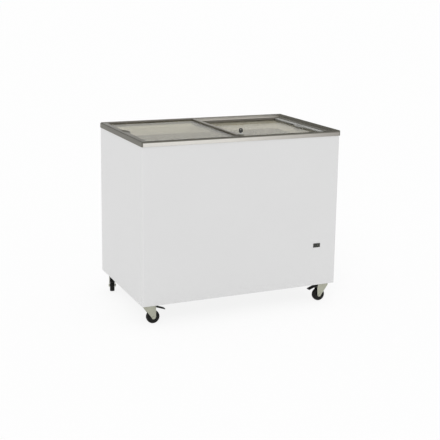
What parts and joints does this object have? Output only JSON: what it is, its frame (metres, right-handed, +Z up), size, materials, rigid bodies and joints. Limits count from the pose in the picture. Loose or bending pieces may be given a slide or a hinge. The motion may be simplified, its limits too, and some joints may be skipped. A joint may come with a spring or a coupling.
{
  "type": "chest freezer",
  "caption": "Low rectangular freezer cabinet on braked castors, with flat glass lids sliding past each other in a stepped top frame, a lock between them and a small display at the front.",
  "frame": {"origin": "middle of the footprint, on the floor the castors stand on", "axes": "+X to the right of someone facing the front, the front faces -Y, +Z up"},
  "size_m": [1.046, 0.65, 0.9242],
  "materials": {
    "painted_steel": "satin",
    "galvanised_steel": "satin",
    "zinc_plated_steel": "satin",
    "anodised_aluminium": "satin",
    "foam": "matte",
    "liner_aluminium": "satin",
    "grey_pvc": "matte",
    "black_plastic": "matte",
    "white_plastic": "matte",
    "tempered_glass": "polished",
    "smoked_window": "gloss",
    "rubber": "matte",
    "tyre_rubber": "matte",
    "black_enamel": "gloss",
    "copper": "satin",
    "chrome": "polished"
  },
  "bodies": {
    "cabinet": {"back_panel": "painted_steel", "base_pan": "galvanised_steel", "castor_pads": "galvanised_steel", "castor_plates": "zinc_plated_steel", "compressor": "black_enamel", "compressor_feet": "rubber", "compressor_tray": "galvanised_steel", "cover_screws": "zinc_plated_steel", "display_bezel": "white_plastic", "display_window": "smoked_window", "drain_tube": "white_plastic", "frame_back_rail": "grey_pvc", "frame_front_rail": "grey_pvc", "frame_left_rail": "grey_pvc", "frame_right_rail": "grey_pvc", "front_trim": "anodised_aluminium", "insulation": "foam", "liner": "liner_aluminium", "machine_floor": "galvanised_steel", "machine_partition": "galvanised_steel", "mains_inlet": "black_plastic", "outer_shell": "painted_steel", "rear_cover": "painted_steel", "refrigerant_pipes": "copper", "side_grille": "white_plastic", "starter_box": "black_plastic", "thermostat": "white_plastic", "track_strips": "anodised_aluminium"},
    "left_lid": {"left_lid_frame": "anodised_aluminium", "left_lid_glass": "tempered_glass", "left_lid_grip": "grey_pvc", "lid_brush": "black_plastic", "lock_case": "chrome"},
    "right_lid": {"right_lid_frame": "anodised_aluminium", "right_lid_glass": "tempered_glass", "right_lid_grip": "grey_pvc"},
    "lock_plug": {"lock_barrel": "chrome", "lock_key": "black_plastic"},
    "temperature_knob": {"thermostat_knob": "black_plastic"},
    "drain_bung": {"drain_plug": "rubber"},
    "castor_front_left_swivel": {"castor_front_left_fork": "zinc_plated_steel"},
    "castor_front_left_wheel": {"castor_front_left_wheel": "tyre_rubber"},
    "castor_front_left_brake": {"castor_front_left_pedal": "black_plastic"},
    "castor_front_right_swivel": {"castor_front_right_fork": "zinc_plated_steel"},
    "castor_front_right_wheel": {"castor_front_right_wheel": "tyre_rubber"},
    "castor_front_right_brake": {"castor_front_right_pedal": "black_plastic"},
    "castor_rear_left_swivel": {"castor_rear_left_fork": "zinc_plated_steel"},
    "castor_rear_left_wheel": {"castor_rear_left_wheel": "tyre_rubber"},
    "castor_rear_left_brake": {"castor_rear_left_pedal": "black_plastic"},
    "castor_rear_right_swivel": {"castor_rear_right_fork": "zinc_plated_steel"},
    "castor_rear_right_wheel": {"castor_rear_right_wheel": "tyre_rubber"},
    "castor_rear_right_brake": {"castor_rear_right_pedal": "black_plastic"}
  },
  "joints": [
    {"name": "left_lid_slide", "type": "slide", "parent": "cabinet", "child": "left_lid", "axis": [1, 0, 0], "range_m": [0, 0.47]},
    {"name": "right_lid_slide", "type": "slide", "parent": "cabinet", "child": "right_lid", "axis": [1, 0, 0], "range_m": [-0.47, 0]},
    {"name": "lock_turn", "type": "hinge", "parent": "left_lid", "child": "lock_plug", "pos_m": [-0.0143, -0.298, 0.895], "axis": [0, 0, 1], "range_deg": [0, 90]},
    {"name": "knob_turn", "type": "hinge", "parent": "cabinet", "child": "temperature_knob", "pos_m": [0.51, 0.024, 0.232], "axis": [1, 0, 0], "range_deg": [0, 270]},
    {"name": "drain_bung_lift", "type": "slide", "parent": "cabinet", "child": "drain_bung", "axis": [0, 0, 1], "range_m": [0, 0.03]},
    {"name": "castor_front_left_swivel", "type": "hinge", "parent": "cabinet", "child": "castor_front_left_swivel", "pos_m": [-0.48, -0.277, 0.09], "axis": [0, 0, 1], "continuous": true},
    {"name": "castor_front_left_roll", "type": "hinge", "parent": "castor_front_left_swivel", "child": "castor_front_left_wheel", "pos_m": [-0.453, -0.277, 0.0325], "axis": [0, 1, 0], "continuous": true},
    {"name": "castor_front_left_brake", "type": "hinge", "parent": "castor_front_left_swivel", "child": "castor_front_left_brake", "pos_m": [-0.46, -0.277, 0.077], "axis": [0, 1, 0], "range_deg": [0, 9]},
    {"name": "castor_front_right_swivel", "type": "hinge", "parent": "cabinet", "child": "castor_front_right_swivel", "pos_m": [0.48, -0.277, 0.09], "axis": [0, 0, 1], "continuous": true},
    {"name": "castor_front_right_roll", "type": "hinge", "parent": "castor_front_right_swivel", "child": "castor_front_right_wheel", "pos_m": [0.453, -0.277, 0.0325], "axis": [0, -1, 0], "continuous": true},
    {"name": "castor_front_right_brake", "type": "hinge", "parent": "castor_front_right_swivel", "child": "castor_front_right_brake", "pos_m": [0.46, -0.277, 0.077], "axis": [0, -1, 0], "range_deg": [0, 9]},
    {"name": "castor_rear_left_swivel", "type": "hinge", "parent": "cabinet", "child": "castor_rear_left_swivel", "pos_m": [-0.48, 0.277, 0.09], "axis": [0, 0, 1], "continuous": true},
    {"name": "castor_rear_left_roll", "type": "hinge", "parent": "castor_rear_left_swivel", "child": "castor_rear_left_wheel", "pos_m": [-0.48812, 0.25125, 0.0325], "axis": [0.9537, -0.3007, 0], "continuous": true},
    {"name": "castor_rear_left_brake", "type": "hinge", "parent": "castor_rear_left_swivel", "child": "castor_rear_left_brake", "pos_m": [-0.48601, 0.25793, 0.077], "axis": [0.9537, -0.3007, 0], "range_deg": [0, 9]},
    {"name": "castor_rear_right_swivel", "type": "hinge", "parent": "cabinet", "child": "castor_rear_right_swivel", "pos_m": [0.48, 0.277, 0.09], "axis": [0, 0, 1], "continuous": true},
    {"name": "castor_rear_right_roll", "type": "hinge", "parent": "castor_rear_right_swivel", "child": "castor_rear_right_wheel", "pos_m": [0.48744, 0.25105, 0.0325], "axis": [0.9613, 0.2756, 0], "continuous": true},
    {"name": "castor_rear_right_brake", "type": "hinge", "parent": "castor_rear_right_swivel", "child": "castor_rear_right_brake", "pos_m": [0.48551, 0.25777, 0.077], "axis": [0.9613, 0.2756, 0], "range_deg": [0, 9]}
  ]
}
